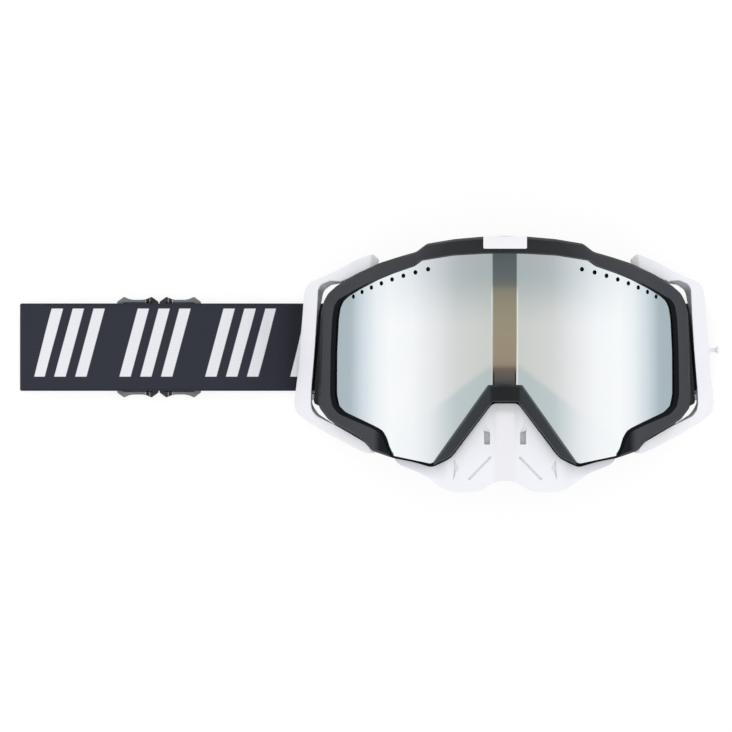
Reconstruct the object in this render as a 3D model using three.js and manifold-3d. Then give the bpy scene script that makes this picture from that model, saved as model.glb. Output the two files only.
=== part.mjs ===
// Motocross goggles lying on a table with the face foam down and the strap laid out to one side.
// Millimetres. +Z is up, out of the lens. +Y is towards the brow. -X is the wearer's right.
// Z = 0 is the table and X = 0 is the plane of symmetry of the goggles.
import * as THREE from 'three';
import { mergeVertices } from 'three/addons/utils/BufferGeometryUtils.js';
import Module from 'manifold-3d';

const wasm = await Module();
wasm.setup();

// Lens and the hard sheets that follow it
const LENS_R = 90;
const LENS_AXIS_Z = -4;
const WRAP_DEG = 52;
const LENS_T = 1.5;
const BEZEL_PROUD = 3;
const BEZEL_PROUD_SIDE = 1.5;
const BRIDGE_PROUD = 3.2;
const RIM_BACK = -2.8;
const GASKET_FRONT = -1.8;
const GASKET_BACK = -2.9;
const FRAME_FRONT = -3.2;
const FRAME_FLANGE = 2;
const FRAME_WALL = 2.4;
const VENT_HOLE_D = 2.1;
const VENT_COUNT = 8;

// Face side
const FACE_R = 110;
const FACE_Z = 38.4;
const FOAM_GAP = 0.6;
const FOAM_BASE_T = 5;
const FOAM_MIDDLE_T = 5;
const FOAM_FLEECE_T = 2.4;
const FOAM_W = 13;
const BACK_FLANGE_T = 2.5;
const BACK_FLANGE_W = 8;
const BACK_X = 0.93;
const BACK_Y = 0.965;

// Outriggers
const PIVOT_X = 62;
const PIVOT_Z = 46;
const PIN_R = 1.5;
const PIN_HOLE_R = 1.62;
const BOSS_R = 3.6;
const ARM_H = 3.2;
const BAR_X = 89.2;
const BAR_Z = 7.2;
const BAR_R = 1.6;

// Strap and sliders
const STRAP_W = 40.4;
const STRAP_T = 1.7;
const FOLD_X = -223.6;
const SLIDER_L = 19.1;
const SLIDER_W = 46.4;
const SLIDER_H = 6.3;
const SLIDER_X = [-169.15, -149.55];

// Outlines seen along Z, one half each: [outer x, outer y, inner x, inner y] from the top centre round
const BEZEL_HALF = [
  [0, 51, 0, 42.9], [10.3, 50.7, 10, 42.7], [23, 49.6, 24, 41.9], [35.8, 47.5, 39.8, 39.4],
  [40.3, 43.4, 43.6, 36.5], [49, 41.6, 51.6, 33.8], [57.5, 38.7, 59, 30.8], [68.8, 33.5, 67.8, 26.3],
  [77.1, 28.4, 72.6, 23.4], [81.2, 24.8, 75.1, 20.9], [83.2, 21.2, 76.4, 17.9],
  [84.6, 15.8, 77.2, 12.3], [85.2, -0.4, 77.9, -2], [85.6, -14.9, 78, -14.5],
  [86, -24.4, 78, -21.8], [85.2, -28.2, 76.9, -27.1], [81.2, -33.4, 74, -29.9],
  [78, -35.4, 69.7, -31.9], [70.2, -39.7, 62, -35.5], [65.7, -42.3, 58.6, -37.2],
  [63.2, -45.2, 56.6, -38.6], [61.2, -47.7, 54.9, -41.6], [52.7, -50.6, 52.8, -48.4],
];
const FRAME_HALF = [
  [0, 50.3, 0, 44.2], [20, 48.8, 20, 42.6], [35.4, 46.9, 36, 40.8], [40, 43.1, 42.3, 38],
  [57.3, 38, 60, 30.8], [68.5, 32.8, 67.5, 26.6], [76.4, 27.8, 73, 23], [80.8, 24, 76, 19.6],
  [82.8, 19.9, 76.7, 16.4], [84.7, 14.8, 77.6, 10.9], [86, -0.4, 78, -0.4], [87.3, -14.9, 78, -14],
  [88.2, -25.9, 78, -22], [85, -27.4, 76.7, -27.9], [81.2, -33, 73, -31.6],
  [78, -36.1, 69, -34.4], [70.5, -40.4, 64.6, -35.8], [64.8, -43.7, 58.4, -38.4], [61, -47, 56, -41.6],
  [52, -50.9, 50.8, -47.4], [43, -53.4, 42, -49], [34, -56.2, 33.6, -51], [24, -53.4, 28, -46],
  [13.6, -41, 21, -37], [5.4, -30, 8, -20], [0, -30, 0, -20],
];
const BRIDGE_HALF = [
  [0, -25.6, 0, -17.2], [5.7, -25.6, 7.9, -17.4], [24.3, -50, 29.3, -47.6],
  [26.9, -51.6, 31.2, -50.3], [32.7, -54.3, 32.9, -52.7],
];
const LENS_HALF = [
  [0, 45.8], [10, 45.5], [24, 44], [37, 42.5], [43.6, 39.6], [61.7, 31.9], [68.8, 27.9],
  [74.4, 24.2], [77.4, 20.6], [78.4, 17], [79.3, 11.3], [79.8, -2], [79.8, -22.3], [78, -29],
  [69.8, -35.8], [59, -40], [57.2, -42], [53.6, -47.2], [52.1, -48.4], [51.8, -49.8],
  [33.6, -53.6], [30.6, -50], [6.6, -19.4], [0, -19.4],
];
const GUARD_HALF = [
  [0, -26.2], [5.9, -26.2], [24.6, -50.8], [27, -52.4], [33.6, -55.4], [42, -52.8],
  [51.2, -51], [48.6, -54], [38.5, -58], [28.8, -64.9], [24.3, -66.6], [17.2, -66.8],
  [11.4, -66.1], [6.9, -63.3], [3, -61.3], [0, -61.3],
];
const ARM = [
  [57.8, 40.3, 58.3, 36.8], [60.7, 43.1, 61.5, 35.6], [68.8, 40.1, 69, 32.6], [76.9, 35.7, 75.3, 29.8],
  [84, 32.3, 80.2, 29.9], [88.8, 30.4, 84.1, 28.2], [91.4, 27.8, 85.3, 25], [92.5, 23.8, 85.7, 22],
  [93, 15.8, 86.2, 14.5], [94.2, 1.2, 87.3, 0], [95, -10, 88.1, -10], [96.2, -19.7, 88.9, -19],
  [97, -26.2, 89.1, -26], [95.8, -30.6, 88.5, -29.1], [89.7, -35.1, 86.6, -31.6],
  [80.1, -40.7, 78, -35.8], [68.8, -46.7, 66, -41.6], [63.2, -49.2, 62.2, -45],
];
// Height of the outrigger's middle layer at distances from the plane of symmetry: [x, z]
const ARM_RISE = [[50, 47], [62, 46], [70, 38], [78, 31], [86, 20.5], [88, 18], [100, 2]];
const VENT_LINE = [[35.3, 35.7], [56.2, 30.9], [69.6, 23.2]];

const MATERIALS = {
  black_plastic: { color: 0x3c3c42, roughness: 0.55, metalness: 0 },
  bridge_plastic: { color: 0x2b3033, roughness: 0.5, metalness: 0 },
  white_plastic: { color: 0xecedf1, roughness: 0.4, metalness: 0 },
  mirror_lens: { color: 0xd6dde0, roughness: 0.06, metalness: 1 },
  frame_rubber: { color: 0x232427, roughness: 0.7, metalness: 0 },
  gasket_rubber: { color: 0x17181a, roughness: 0.8, metalness: 0 },
  dark_foam: { color: 0x2c2d31, roughness: 0.95, metalness: 0 },
  grey_foam: { color: 0x54565c, roughness: 0.95, metalness: 0 },
  fleece: { color: 0x1d1e21, roughness: 1, metalness: 0 },
  strap_webbing: { color: 0x2f3342, roughness: 0.85, metalness: 0 },
  smoke_plastic: { color: 0x6f757c, roughness: 0.3, metalness: 0 },
  steel_pin: { color: 0xb9bcc0, roughness: 0.3, metalness: 1 },
};

const group = new THREE.Group();
group.name = 'motocross_goggles';

function add(name, geometry, material) {
  const mesh = new THREE.Mesh(geometry, new THREE.MeshStandardMaterial(MATERIALS[material]));
  mesh.name = name;
  group.add(mesh);
}

// Geometry to and from manifold solids, which are used to join and cut
function solid(geometry) {
  const plain = geometry.clone();
  plain.deleteAttribute('normal');
  plain.deleteAttribute('uv');
  const merged = mergeVertices(plain, 1e-4);
  return new wasm.Manifold(new wasm.Mesh({
    numProp: 3,
    vertProperties: new Float32Array(merged.attributes.position.array),
    triVerts: new Uint32Array(merged.index.array),
  }));
}

function geometryOf(body) {
  const mesh = body.getMesh();
  const geometry = new THREE.BufferGeometry();
  geometry.setAttribute('position', new THREE.BufferAttribute(new Float32Array(mesh.vertProperties), 3));
  geometry.setIndex(new THREE.BufferAttribute(new Uint32Array(mesh.triVerts), 1));
  geometry.computeVertexNormals();
  return geometry;
}

function join(...geometries) {
  return geometries.map(solid).reduce((all, next) => all.add(next));
}

// Height of a sheet lying t outside the lens. It is round up to the wrap angle, then straight.
function sheetZ(x, t) {
  const r = LENS_R + t;
  const wrap = THREE.MathUtils.degToRad(WRAP_DEG);
  const bend = r * Math.sin(wrap);
  const a = Math.abs(x);
  if (a <= bend) return LENS_AXIS_Z + Math.sqrt(r * r - a * a);
  return LENS_AXIS_Z + r * Math.cos(wrap) - (a - bend) * Math.tan(wrap);
}

// Height of the face, and of a foam layer's surface that lies the given distance above it
function faceZ(x, above) {
  return FACE_Z - (FACE_R - Math.sqrt(FACE_R * FACE_R - x * x)) + above;
}

function armZ(x) {
  const a = Math.abs(x);
  const i = ARM_RISE.findIndex(([px], k) => k > 0 && a <= px);
  const [x0, z0] = ARM_RISE[i - 1];
  const [x1, z1] = ARM_RISE[i];
  return THREE.MathUtils.mapLinear(a, x0, x1, z0, z1);
}

// A full outline from its right half: the left half is its mirror image
function mirrored(half) {
  const left = half.map((p) => p.map((v, i) => (i % 2 ? v : -v))).reverse();
  return half.concat(left.filter((p) => Math.abs(p[0]) > 1e-6));
}

// An open arch through the top centre from one foot to the other
function arch(half) {
  const left = half.slice(1).map((p) => p.map((v, i) => (i % 2 ? v : -v))).reverse();
  return left.concat(half);
}

// Extra stations, so that a long straight side still follows the curve of the lens
function divided(stations, step, closed) {
  const result = [];
  const count = closed ? stations.length : stations.length - 1;
  for (let i = 0; i < count; i += 1) {
    const a = stations[i];
    const b = stations[(i + 1) % stations.length];
    const parts = Math.max(1, Math.ceil(Math.hypot(b[0] - a[0], b[1] - a[1]) / step));
    for (let k = 0; k < parts; k += 1) {
      result.push(a.map((v, j) => v + ((b[j] - v) * k) / parts));
    }
  }
  if (!closed) result.push(stations[stations.length - 1]);
  return result;
}

// A point set in from the outer edge of a station by a distance, limited to a share of its width
function inset(station, distance, share = 1) {
  const [ox, oy, ix, iy] = station;
  const width = Math.hypot(ix - ox, iy - oy);
  const t = Math.min(distance, share * width) / width;
  return [ox + (ix - ox) * t, oy + (iy - oy) * t];
}

// A solid through a row of equal sections, closed into a ring or capped at both ends
function loft(sections, closed) {
  const points = sections[0].length;
  const position = sections.flat(2);
  const index = [];
  const rows = closed ? sections.length : sections.length - 1;
  for (let i = 0; i < rows; i += 1) {
    const next = (i + 1) % sections.length;
    for (let k = 0; k < points; k += 1) {
      const a = i * points + k;
      const b = i * points + ((k + 1) % points);
      const c = next * points + ((k + 1) % points);
      const d = next * points + k;
      index.push(a, b, c, a, c, d);
    }
  }
  if (!closed) {
    capFaces(sections[0]).forEach(([a, b, c]) => index.push(a, c, b));
    const last = (sections.length - 1) * points;
    capFaces(sections[sections.length - 1]).forEach(([a, b, c]) => index.push(last + a, last + b, last + c));
  }
  const geometry = new THREE.BufferGeometry();
  geometry.setAttribute('position', new THREE.Float32BufferAttribute(position, 3));
  geometry.setIndex(volume(position, index) < 0 ? flipped(index) : index);
  geometry.computeVertexNormals();
  return geometry;
}

// Triangles of an end cap. The section is flattened across its width and its height.
function capFaces(section) {
  const [x0, y0] = section[0];
  const far = section.reduce((best, p) => (Math.hypot(p[0] - x0, p[1] - y0)
    > Math.hypot(best[0] - x0, best[1] - y0) ? p : best));
  const length = Math.hypot(far[0] - x0, far[1] - y0);
  const flat = section.map(([x, y, z]) => new THREE.Vector2(
    ((x - x0) * (far[0] - x0) + (y - y0) * (far[1] - y0)) / length, z));
  const faces = THREE.ShapeUtils.triangulateShape(flat, []);
  return THREE.ShapeUtils.isClockWise(flat) ? faces.map(([a, b, c]) => [a, c, b]) : faces;
}

function volume(position, index) {
  const point = (i) => new THREE.Vector3().fromArray(position, 3 * i);
  let total = 0;
  for (let i = 0; i < index.length; i += 3) {
    total += point(index[i]).dot(point(index[i + 1]).cross(point(index[i + 2]))) / 6;
  }
  return total;
}

function flipped(index) {
  const result = [];
  for (let i = 0; i < index.length; i += 3) result.push(index[i], index[i + 2], index[i + 1]);
  return result;
}

// A flat outline given thickness along Z, and one in X and Z given thickness along Y
function slab(outline, z0, z1) {
  const shape = new THREE.Shape(outline.map(([x, y]) => new THREE.Vector2(x, y)));
  const geometry = new THREE.ExtrudeGeometry(shape, { depth: z1 - z0, bevelEnabled: false });
  return geometry.translate(0, 0, z0);
}

function profile(outline, y0, y1) {
  const shape = new THREE.Shape(outline.map(([x, z]) => new THREE.Vector2(x, z)));
  const geometry = new THREE.ExtrudeGeometry(shape, { depth: y1 - y0, bevelEnabled: false });
  return geometry.rotateX(Math.PI / 2).translate(0, y1, 0);
}

function box(x0, x1, y0, y1, z0, z1) {
  const geometry = new THREE.BoxGeometry(x1 - x0, y1 - y0, z1 - z0);
  return geometry.translate((x0 + x1) / 2, (y0 + y1) / 2, (z0 + z1) / 2);
}

function rodY(x, z, r, y0, y1, sides = 24) {
  return new THREE.CylinderGeometry(r, r, y1 - y0, sides).translate(x, (y0 + y1) / 2, z);
}

function rodX(y, z, r, x0, x1, sides = 20) {
  return new THREE.CylinderGeometry(r, r, x1 - x0, sides).rotateZ(Math.PI / 2).translate((x0 + x1) / 2, y, z);
}

function rodZ(x, y, r, z0, z1, sides = 16) {
  return new THREE.CylinderGeometry(r, r, z1 - z0, sides).rotateX(Math.PI / 2).translate(x, y, (z0 + z1) / 2);
}

// The part of a wrapped sheet between two distances from the lens that lies inside an outline
function curvedPlate(outline, back, front) {
  const reach = 100;
  const side = (t) => {
    const points = [];
    for (let k = 0; k <= 26; k += 1) {
      const angle = THREE.MathUtils.degToRad(THREE.MathUtils.mapLinear(k, 0, 26, -WRAP_DEG, WRAP_DEG));
      points.push((LENS_R + t) * Math.sin(angle));
    }
    return [-reach, ...points, reach].map((x) => [x, sheetZ(x, t)]);
  };
  const sheet = profile(side(front).concat(side(back).reverse()), -90, 90);
  return solid(sheet).intersect(solid(slab(outline, -60, 120)));
}

// Bezel and nose bridge: a face on top, a bevel down to the lens and a rim round the lens edge
function rimSection(station, proud, lean, bevel) {
  const outer = inset(station, 0);
  const crest = inset(station, lean, 0.3);
  const edge = inset([station[2], station[3], station[0], station[1]], bevel, 0.3);
  const inner = inset([station[2], station[3], station[0], station[1]], 0);
  const seat = inset(station, 1.5 + 0.45 * lean, 0.62);
  const skirt = inset(station, 1.3, 0.5);
  const at = ([x, y], t) => [x, y, sheetZ(x, t)];
  return [
    at(outer, RIM_BACK), at(crest, proud), at(edge, proud), at(inner, 0.6),
    at(inner, 0.35), at(seat, 0.35), at(skirt, RIM_BACK),
  ];
}

// The bezel stands less proud of the lens at the sides than along the brow
function bezelProud(x) {
  return BEZEL_PROUD + (BEZEL_PROUD_SIDE - BEZEL_PROUD) * THREE.MathUtils.smoothstep(Math.abs(x), 25, 55);
}

// Its bevel is widest there, and narrow below the brow
function bezelBevel(x, y) {
  const [least, from, to] = y > 0 ? [0.6, 76, 84.5] : [1.3, 62, 84];
  return least + (2.4 - least) * THREE.MathUtils.smoothstep(Math.abs(x), from, to);
}

add('bezel', loft(
  divided(arch(BEZEL_HALF), 8, false).map((s) => rimSection(s, bezelProud(s[0]), 1.2, bezelBevel(s[0], s[1]))),
  false,
), 'black_plastic');

add('nose_bridge', loft(
  divided(arch(BRIDGE_HALF), 8, false).map((s) => rimSection(s, BRIDGE_PROUD, 0.8, 1)),
  false,
), 'bridge_plastic');

// Lens with a row of round vents on each side of the brow, each drilled square to the lens
const ventCurve = new THREE.QuadraticBezierCurve(...VENT_LINE.map(([x, y]) => new THREE.Vector2(x, y)));
let lens = curvedPlate(mirrored(LENS_HALF), -LENS_T, 0);
for (let i = 0; i < VENT_COUNT; i += 1) {
  const vent = ventCurve.getPoint(i / (VENT_COUNT - 1));
  for (const sign of [-1, 1]) {
    const drill = rodZ(0, 0, VENT_HOLE_D / 2, -4, 4, 8).rotateY(sign * Math.asin(vent.x / LENS_R));
    lens = lens.subtract(solid(drill.translate(sign * vent.x, vent.y, sheetZ(vent.x, 0))));
  }
}
add('lens', geometryOf(lens), 'mirror_lens');

// Filter foam behind each row of vents
const VENT_FOAM = [
  [32.6, 38.2], [41.4, 36.4], [52.5, 32.7], [62, 28.6], [71.4, 23.6],
  [69.6, 20.4], [60.4, 25.2], [51.4, 29], [40.6, 32.6], [32.6, 34],
];
for (const [side, sign] of [['right', -1], ['left', 1]]) {
  const outline = VENT_FOAM.map(([x, y]) => [sign * x, y]);
  add(`vent_foam_${side}`, geometryOf(curvedPlate(outline, -LENS_T - 2.6, -LENS_T - 0.3)), 'dark_foam');
}

// Brow badge: a blank plate on the middle of the bezel
const BADGE = [
  [-10, 46.2], [-9, 45.1], [9, 45.1], [10, 46.2], [10, 49.9], [9, 50.8], [-9, 50.8], [-10, 49.9],
];
add('brow_badge', geometryOf(curvedPlate(BADGE, BEZEL_PROUD + 0.25, BEZEL_PROUD + 1.4)), 'white_plastic');

// Frame: front flange under the lens, a wall all round, and a flange that carries the foam
const foamTop = FOAM_BASE_T + FOAM_MIDDLE_T + FOAM_FLEECE_T + 2 * FOAM_GAP;
const frameStations = divided(mirrored(FRAME_HALF), 9, true);
const backStation = (s) => s.map((v, i) => v * (i % 2 ? BACK_Y : BACK_X));

function frameSection(station) {
  const front = (distance, t) => {
    const [x, y] = inset(station, distance);
    return [x, y, sheetZ(x, t)];
  };
  const back = (distance, above) => {
    const [x, y] = inset(backStation(station), distance, 2);
    return [x, y, faceZ(x, foamTop + FOAM_GAP + above)];
  };
  return [
    front(0, FRAME_FRONT), front(99, FRAME_FRONT), front(99, FRAME_FRONT - FRAME_FLANGE),
    front(FRAME_WALL, FRAME_FRONT - FRAME_FLANGE), back(FRAME_WALL, BACK_FLANGE_T),
    back(BACK_FLANGE_W, BACK_FLANGE_T), back(BACK_FLANGE_W, 0), back(0, 0),
  ];
}

const GUARD_PEGS = [[3.4, -28], [26.6, -54.1]];
let frame = solid(loft(frameStations.map(frameSection), true));
for (const sign of [-1, 1]) {
  for (const [y0, y1] of [[28, 42], [-50, -38]]) {
    frame = frame.subtract(solid(rodY(sign * PIVOT_X, PIVOT_Z, PIN_HOLE_R, y0, y1)));
  }
  for (const [x, y] of GUARD_PEGS) {
    const z = sheetZ(x, FRAME_FRONT);
    frame = frame.subtract(solid(rodZ(sign * x, y, 1.2, z - 3, z + 3)));
  }
}
add('frame', geometryOf(frame), 'frame_rubber');

// Lens gasket, on the frame's front flange
add('lens_gasket', loft(frameStations.map((station) => {
  const [ox, oy, ix, iy] = station;
  const reversed = [ix, iy, ox, oy];
  const outer = inset(reversed, 3, 0.5);
  const inner = inset(reversed, 0.6);
  return [
    [...outer, sheetZ(outer[0], GASKET_FRONT)], [...inner, sheetZ(inner[0], GASKET_FRONT)],
    [...inner, sheetZ(inner[0], GASKET_BACK)], [...outer, sheetZ(outer[0], GASKET_BACK)],
  ];
}), true), 'gasket_rubber');

// Face foam in three layers
function foamRing(low, high, outerInset, width) {
  return loft(frameStations.map((station) => {
    const outer = inset(backStation(station), outerInset, 9);
    const inner = inset(backStation(station), outerInset + width, 9);
    return [
      [...outer, faceZ(outer[0], high)], [...inner, faceZ(inner[0], high)],
      [...inner, faceZ(inner[0], low)], [...outer, faceZ(outer[0], low)],
    ];
  }), true);
}
const middleLow = FOAM_FLEECE_T + FOAM_GAP;
const baseLow = middleLow + FOAM_MIDDLE_T + FOAM_GAP;
add('foam_fleece', foamRing(0, FOAM_FLEECE_T, 0.3, FOAM_W), 'fleece');
add('foam_middle', foamRing(middleLow, middleLow + FOAM_MIDDLE_T, 0.8, FOAM_W - 1), 'grey_foam');
add('foam_base', foamRing(baseLow, baseLow + FOAM_BASE_T, 1.3, FOAM_W - 2), 'dark_foam');

// Nose guard: a curved plate with a raised middle band, two pockets and pegs into the frame
const GUARD_BACK = -2.9;
const GUARD_FRONT = -1;
const POCKET_FLOOR = -3.9;
let guard = curvedPlate(mirrored(GUARD_HALF), GUARD_BACK, GUARD_FRONT);
const GUARD_BAND = [[-4.9, -30], [4.9, -30], [4.9, -60.4], [2.6, -58.6], [-2.6, -58.6], [-4.9, -60.4]];
guard = guard.add(curvedPlate(GUARD_BAND, GUARD_BACK, GUARD_FRONT + 1.3));
const POCKET = [[6.9, -39.2], [9.6, -38.4], [9.6, -44.7], [6.9, -44.7]];
const POCKET_BACK = [[6, -37.5], [9.8, -37.5], [10.5, -38.6], [10.5, -45.6], [6, -45.6]];
for (const sign of [-1, 1]) {
  const across = ([x, y]) => [sign * x, y];
  guard = guard.add(curvedPlate(POCKET_BACK.map(across), POCKET_FLOOR - 1, GUARD_FRONT - 1));
  guard = guard.subtract(curvedPlate(POCKET.map(across), POCKET_FLOOR, 5));
  for (const [x, y] of GUARD_PEGS) {
    const z = sheetZ(x, FRAME_FRONT);
    guard = guard.add(solid(rodZ(sign * x, y, 1, z - 2.4, z + 1.4)));
  }
}
add('nose_guard', geometryOf(guard), 'white_plastic');

// Outriggers: a C-shaped arm, two pivot bosses, and a bar for the strap between two cheeks
function outrigger(sign) {
  const sections = divided(ARM, 9, false).map((station) => {
    const [ox, oy, ix, iy] = station;
    return [
      [sign * ox, oy, armZ(ox) + ARM_H / 2], [sign * ix, iy, armZ(ix) + ARM_H / 2],
      [sign * ix, iy, armZ(ix) - ARM_H / 2], [sign * ox, oy, armZ(ox) - ARM_H / 2],
    ];
  });
  let body = solid(loft(sections, false));
  const xs = (a, b) => (sign > 0 ? [a, b] : [-b, -a]);
  body = body.add(solid(rodY(sign * PIVOT_X, PIVOT_Z, BOSS_R, 38, 42)));
  body = body.add(solid(rodY(sign * PIVOT_X, PIVOT_Z, BOSS_R, -49.2, -46.4)));
  for (const [y0, y1] of [[21.6, 24.6], [-24.6, -21.6]]) {
    body = body.add(solid(box(...xs(BAR_X - 1.8, BAR_X + 2.4), y0, y1, BAR_Z - 1.8, 15)));
  }
  body = body.add(solid(rodY(sign * BAR_X, BAR_Z, BAR_R, -23, 23)));
  body = body.subtract(solid(rodY(sign * PIVOT_X, PIVOT_Z, PIN_HOLE_R, 30, 41)));
  return body.subtract(solid(rodY(sign * PIVOT_X, PIVOT_Z, PIN_HOLE_R, -48.4, -40)));
}

for (const [side, sign] of [['right', -1], ['left', 1]]) {
  add(`outrigger_${side}`, geometryOf(outrigger(sign)), 'white_plastic');
  add(`upper_pin_${side}`, rodY(sign * PIVOT_X, PIVOT_Z, PIN_R, 33.2, 40.8), 'steel_pin');
  add(`lower_pin_${side}`, rodY(sign * PIVOT_X, PIVOT_Z, PIN_R, -48.2, -42.2), 'steel_pin');
}

// Tear-off post: a small mushroom on the wearer's left outrigger
const POST_Y = -1.4;
const POST_Z = armZ(94.5);
add('tear_off_post', geometryOf(join(
  rodX(POST_Y, POST_Z, 1.4, 94.75, 95.4),
  rodX(POST_Y, POST_Z, 1, 95, 98),
  rodX(POST_Y, POST_Z, 1.8, 97.7, 99.3),
)), 'white_plastic');

// Strap ends: a sewn loop round each outrigger bar
function loopRing(sign) {
  const outer = rodY(sign * BAR_X, BAR_Z, BAR_R + 0.4 + STRAP_T, -STRAP_W / 2, STRAP_W / 2, 28);
  const inner = rodY(sign * BAR_X, BAR_Z, BAR_R + 0.4, -STRAP_W, STRAP_W, 28);
  return [solid(outer), solid(inner)];
}
const TAIL_Z = BAR_Z - BAR_R - 0.4 - STRAP_T;
const [rightOuter, rightInner] = loopRing(-1);
const rightTail = box(-99, -BAR_X, -STRAP_W / 2, STRAP_W / 2, TAIL_Z, TAIL_Z + STRAP_T);
add('strap_loop_right', geometryOf(rightOuter.add(solid(rightTail)).subtract(rightInner)), 'strap_webbing');
const [leftOuter, leftInner] = loopRing(1);
const leftTail = profile([[84.9, 0.2], [89.8, 3.9], [87.2, 4.7], [84.9, 1.9]], -STRAP_W / 2, STRAP_W / 2);
add('strap_loop_left', geometryOf(leftOuter.add(solid(leftTail)).subtract(leftInner)), 'strap_webbing');

// Long strap: out over the sliders, round the fold and back along the table under the goggles
function ribbon(path, thickness, width) {
  const offset = (side) => path.map(([x, z], i) => {
    const [ax, az] = path[Math.max(0, i - 1)];
    const [bx, bz] = path[Math.min(path.length - 1, i + 1)];
    const length = Math.hypot(bx - ax, bz - az);
    return [x - (side * thickness * (bz - az)) / (2 * length), z + (side * thickness * (bx - ax)) / (2 * length)];
  });
  return profile(offset(1).concat(offset(-1).reverse()), -width / 2, width / 2);
}
const LOW = STRAP_T / 2;
const FOLD_R = 1.15;
const foldCentre = FOLD_X + FOLD_R + LOW;
const strapPath = [
  [-104, TAIL_Z + LOW], [-108, 5.2], [-112, 6.6], [-117, 7.6], [-123, 7.8], [-203, 7.8], [-209, 7.1],
  [-214, 5.2], [-218, 3.7],
];
for (let k = 0; k <= 8; k += 1) {
  const angle = Math.PI / 2 + (k * Math.PI) / 8;
  strapPath.push([foldCentre + FOLD_R * Math.cos(angle), LOW + FOLD_R + FOLD_R * Math.sin(angle)]);
}
strapPath.push([-217, LOW], [-211, 2.1], [-205, 3.3], [-120, 3.3], [-114, 2.1], [-108, LOW], [84.4, LOW]);
add('strap', ribbon(strapPath, STRAP_T, STRAP_W), 'strap_webbing');

// Sliders: two end plates with horns, two bars over the strap and one bar under it
function slider(centre) {
  const half = SLIDER_L / 2;
  const bars = [
    [-half, -half + 3, 4.5, SLIDER_H], [half - 3, half, 4.5, SLIDER_H], [-2, 2, 0, 2.2],
  ];
  const inside = STRAP_W / 2 + 0.5;
  const end = [[-half, inside], [3.2 - half, SLIDER_W / 2], [half - 3.2, SLIDER_W / 2], [half, inside]];
  const plate = (sign) => solid(slab(end.map(([x, y]) => [centre + x, sign * y]), 0, SLIDER_H));
  let body = plate(1).add(plate(-1));
  for (const [x0, x1, z0, z1] of bars) {
    body = body.add(solid(box(centre + x0, centre + x1, -inside - 0.5, inside + 0.5, z0, z1)));
  }
  for (const sign of [-1, 1]) {
    body = body.subtract(solid(rodZ(centre, sign * 34.6, 12.75, -5, 20, 48)));
    // A ledge under the edge of the strap
    const [low, high] = sign < 0 ? [-inside - 0.5, -18.6] : [18.6, inside + 0.5];
    body = body.add(solid(box(centre - half + 1, centre + half - 1, low, high, 0, 1.8)));
  }
  return geometryOf(body);
}
add('slider_outer', slider(SLIDER_X[0]), 'smoke_plastic');
add('slider_inner', slider(SLIDER_X[1]), 'smoke_plastic');

export default group;
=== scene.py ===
import math

import bmesh
import bpy
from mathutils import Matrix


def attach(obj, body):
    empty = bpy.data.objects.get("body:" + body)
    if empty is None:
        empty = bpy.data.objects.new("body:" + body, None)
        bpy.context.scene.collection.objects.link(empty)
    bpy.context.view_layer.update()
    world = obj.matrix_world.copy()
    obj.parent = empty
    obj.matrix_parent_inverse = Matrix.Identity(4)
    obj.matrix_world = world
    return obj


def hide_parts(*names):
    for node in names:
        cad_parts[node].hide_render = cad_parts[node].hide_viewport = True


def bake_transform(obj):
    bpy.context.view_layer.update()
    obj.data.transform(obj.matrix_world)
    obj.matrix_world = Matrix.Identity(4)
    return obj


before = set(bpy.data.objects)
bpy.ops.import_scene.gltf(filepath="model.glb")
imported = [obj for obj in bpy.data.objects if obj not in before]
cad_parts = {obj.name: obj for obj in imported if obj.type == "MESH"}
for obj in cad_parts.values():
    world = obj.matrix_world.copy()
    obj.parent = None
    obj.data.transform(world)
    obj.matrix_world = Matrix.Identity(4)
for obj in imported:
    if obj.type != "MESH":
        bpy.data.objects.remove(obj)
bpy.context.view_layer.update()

# Motocross goggles lying face foam down, with the strap laid out to one side.
# Lengths below are in millimetres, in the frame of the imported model, and become metres in the meshes.
MM = 0.001


# ---------------------------------------------------------------- camera
def make_camera():
    """Straight above the goggles, from far enough away to be nearly free of perspective."""
    view_x, view_y, plane_z, distance, width = -0.0638, -0.0087, 0.05, 12.0, 0.3367
    data = bpy.data.cameras.new("camera")
    data.sensor_width = 36
    data.lens = data.sensor_width * distance / width
    data.clip_end = 50
    camera = bpy.data.objects.new("camera", data)
    camera.location = (view_x, view_y, plane_z + distance)
    bpy.context.collection.objects.link(camera)
    bpy.context.scene.camera = camera


make_camera()

# ---------------------------------------------------------------- sizes
LENS_R, LENS_AXIS_Z, WRAP = 90, -4, math.radians(52)
LENS_T, BEZEL_PROUD, BEZEL_PROUD_SIDE, BRIDGE_PROUD, RIM_BACK = 1.5, 3, 1.5, 3.2, -2.8
FRAME_FRONT, FRAME_FLANGE, FRAME_WALL = -3.2, 2, 2.4
FACE_R, FACE_Z, FOAM_GAP = 110, 38.4, 0.6
FOAM_BASE_T, FOAM_MIDDLE_T, FOAM_FLEECE_T, FOAM_W = 5, 5, 2.4, 13
BACK_FLANGE_T, BACK_FLANGE_W, BACK_X, BACK_Y = 2.5, 8, 0.93, 0.965
PIVOT_X, PIVOT_Z, PIN_HOLE_R = 62, 46, 1.62
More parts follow.
